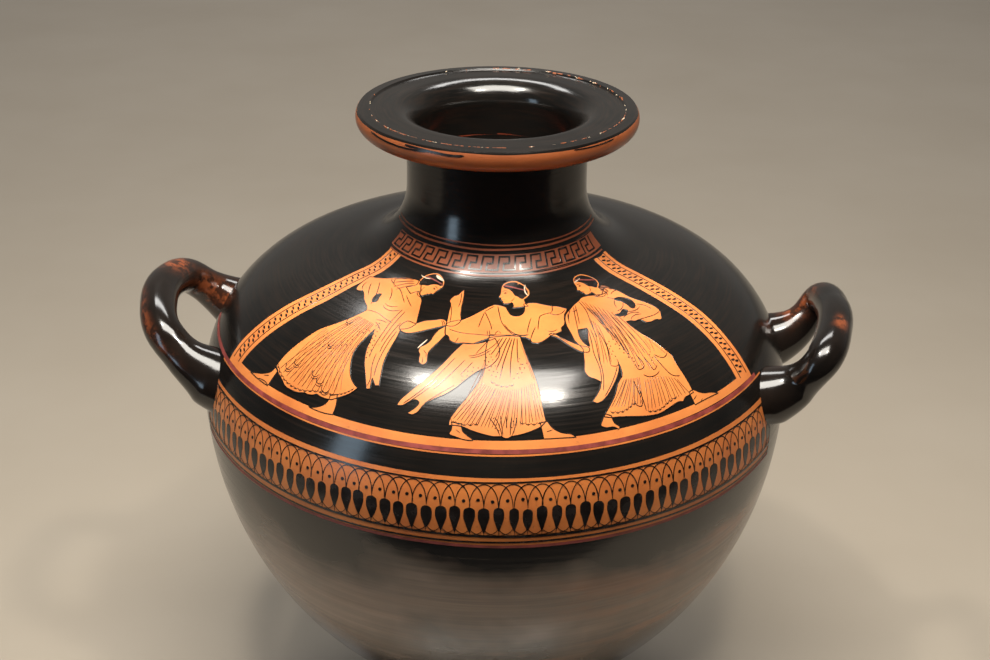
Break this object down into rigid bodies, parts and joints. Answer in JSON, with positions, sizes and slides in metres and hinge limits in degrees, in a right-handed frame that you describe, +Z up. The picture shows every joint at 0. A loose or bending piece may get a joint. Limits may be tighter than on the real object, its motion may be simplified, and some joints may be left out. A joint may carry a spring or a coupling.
{
  "type": "hydria",
  "caption": "Three-handled ceramic water jar with a broad round shoulder, short neck, flat-topped flaring mouth and low disc foot, painted in black gloss with a reserved figure panel.",
  "frame": {"origin": "centre of the foot's resting ring, on the surface that the jar stands on", "axes": "+Z up the jar's axis of turning, -Y towards the painted front, +X towards the right handle seen from the front, +Y towards the upright back handle"},
  "size_m": [0.3868, 0.3202, 0.3743],
  "materials": {
    "black_gloss": "glossy",
    "belly_gloss": "semi-gloss, misfired brown in places",
    "reserved_clay": "satin",
    "added_red": "matt"
  },
  "bodies": {
    "root": {"foot": "black_gloss", "foot_fillet": "black_gloss", "lower_body": "belly_gloss", "shoulder": "black_gloss", "neck": "black_gloss", "mouth": "black_gloss", "left_handle": "black_gloss", "right_handle": "black_gloss", "back_handle": "black_gloss"}
  },
  "joints": []
}
